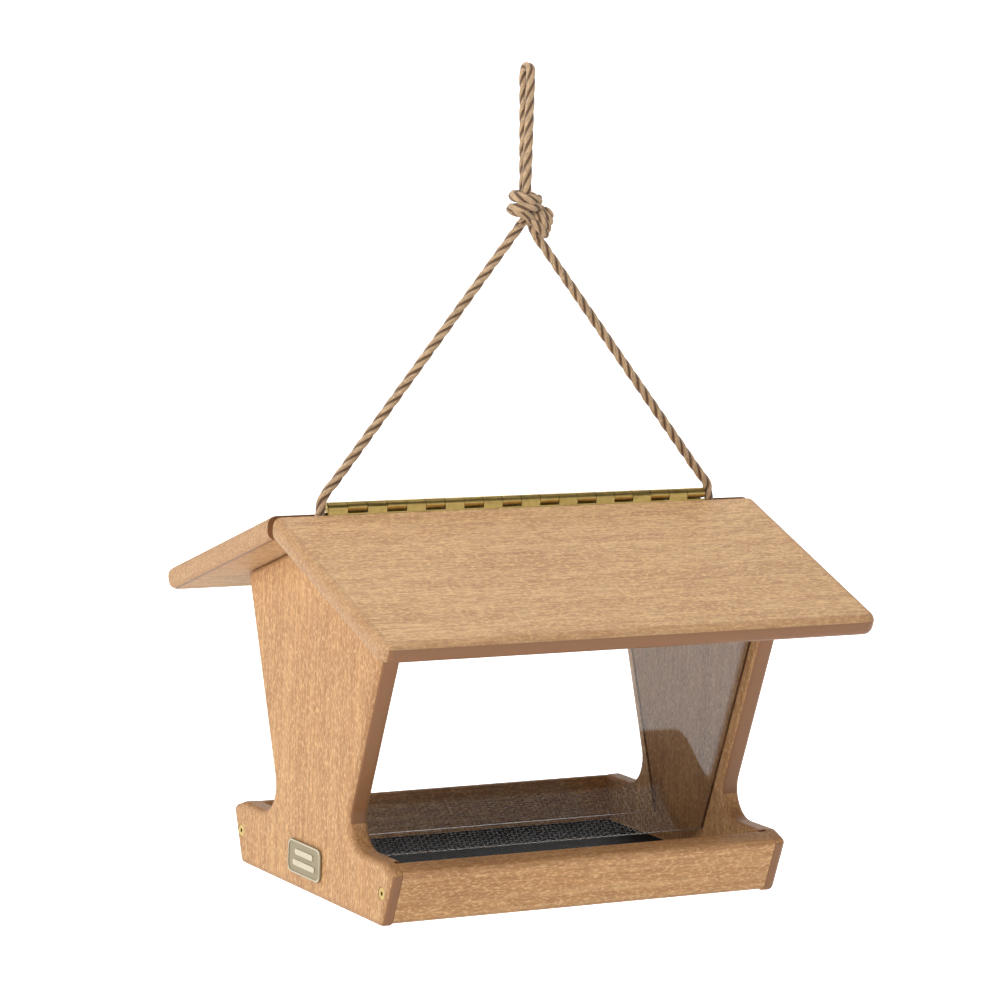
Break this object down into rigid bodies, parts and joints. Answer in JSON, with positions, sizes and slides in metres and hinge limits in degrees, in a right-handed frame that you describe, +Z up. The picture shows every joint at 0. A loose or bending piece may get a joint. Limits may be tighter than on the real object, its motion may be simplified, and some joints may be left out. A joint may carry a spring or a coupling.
{
  "type": "hanging bird feeder",
  "caption": "Hopper bird feeder with plank end panels, clear windows leaning outward, an open tray with a screen floor, a pitched roof that hinges open, and a knotted rope for hanging.",
  "frame": {"origin": "middle of the base, on the plane that both end panels stand on", "axes": "+X along the ridge to the right end panel, +Z up, front with the opening roof board towards -Y"},
  "size_m": [0.3194, 0.2758, 0.4729],
  "materials": {
    "plank": "satin, warm tan, with a lengthwise grain",
    "roof_plank": "satin, warm tan, with grain along the ridge",
    "window": "clear polished acrylic",
    "screen": "black, satin",
    "brass": "satin, a little tarnished",
    "badge": "dull olive bronze with a pale rim",
    "rope": "laid three-strand cord, matt tan"
  },
  "bodies": {
    "feeder": {"end_panel_left": "plank", "end_panel_right": "plank", "tray_rail_back": "plank", "tray_rail_front": "plank", "roof_board_back": "roof_plank", "floor_screen": "screen", "window_back": "window", "hinge_leaf_back": "brass", "hinge_pin": "brass", "hinge_screw_back_1": "brass", "hinge_screw_back_2": "brass", "hinge_screw_back_3": "brass", "hinge_screw_back_4": "brass", "hinge_screw_back_5": "brass", "roof_screw_left_upper": "brass", "roof_screw_left_lower": "brass", "roof_screw_right_upper": "brass", "roof_screw_right_lower": "brass", "rail_screw_front_left": "brass", "rail_screw_back_left": "brass", "rail_screw_front_right": "brass", "rail_screw_back_right": "brass", "badge_plate": "badge", "rope_leg_left": "rope", "rope_leg_right": "rope", "rope_knot": "rope", "rope_loop": "rope", "rope_stopper_left": "rope", "rope_stopper_right": "rope"},
    "roof_front": {"roof_board_front": "roof_plank", "hinge_leaf_front": "brass", "hinge_screw_front_1": "brass", "hinge_screw_front_2": "brass", "hinge_screw_front_3": "brass", "hinge_screw_front_4": "brass", "hinge_screw_front_5": "brass"},
    "window_front": {"window_front": "window"}
  },
  "joints": [
    {"name": "roof_front_hinge", "type": "hinge", "parent": "feeder", "child": "roof_front", "pos_m": [0, 0, 0.2215], "axis": [-1, 0, 0], "range_deg": [0, 105]},
    {"name": "window_front_lift", "type": "slide", "parent": "feeder", "child": "window_front", "axis": [0, -0.342, 0.9397], "range_m": [0, 0.002]}
  ]
}
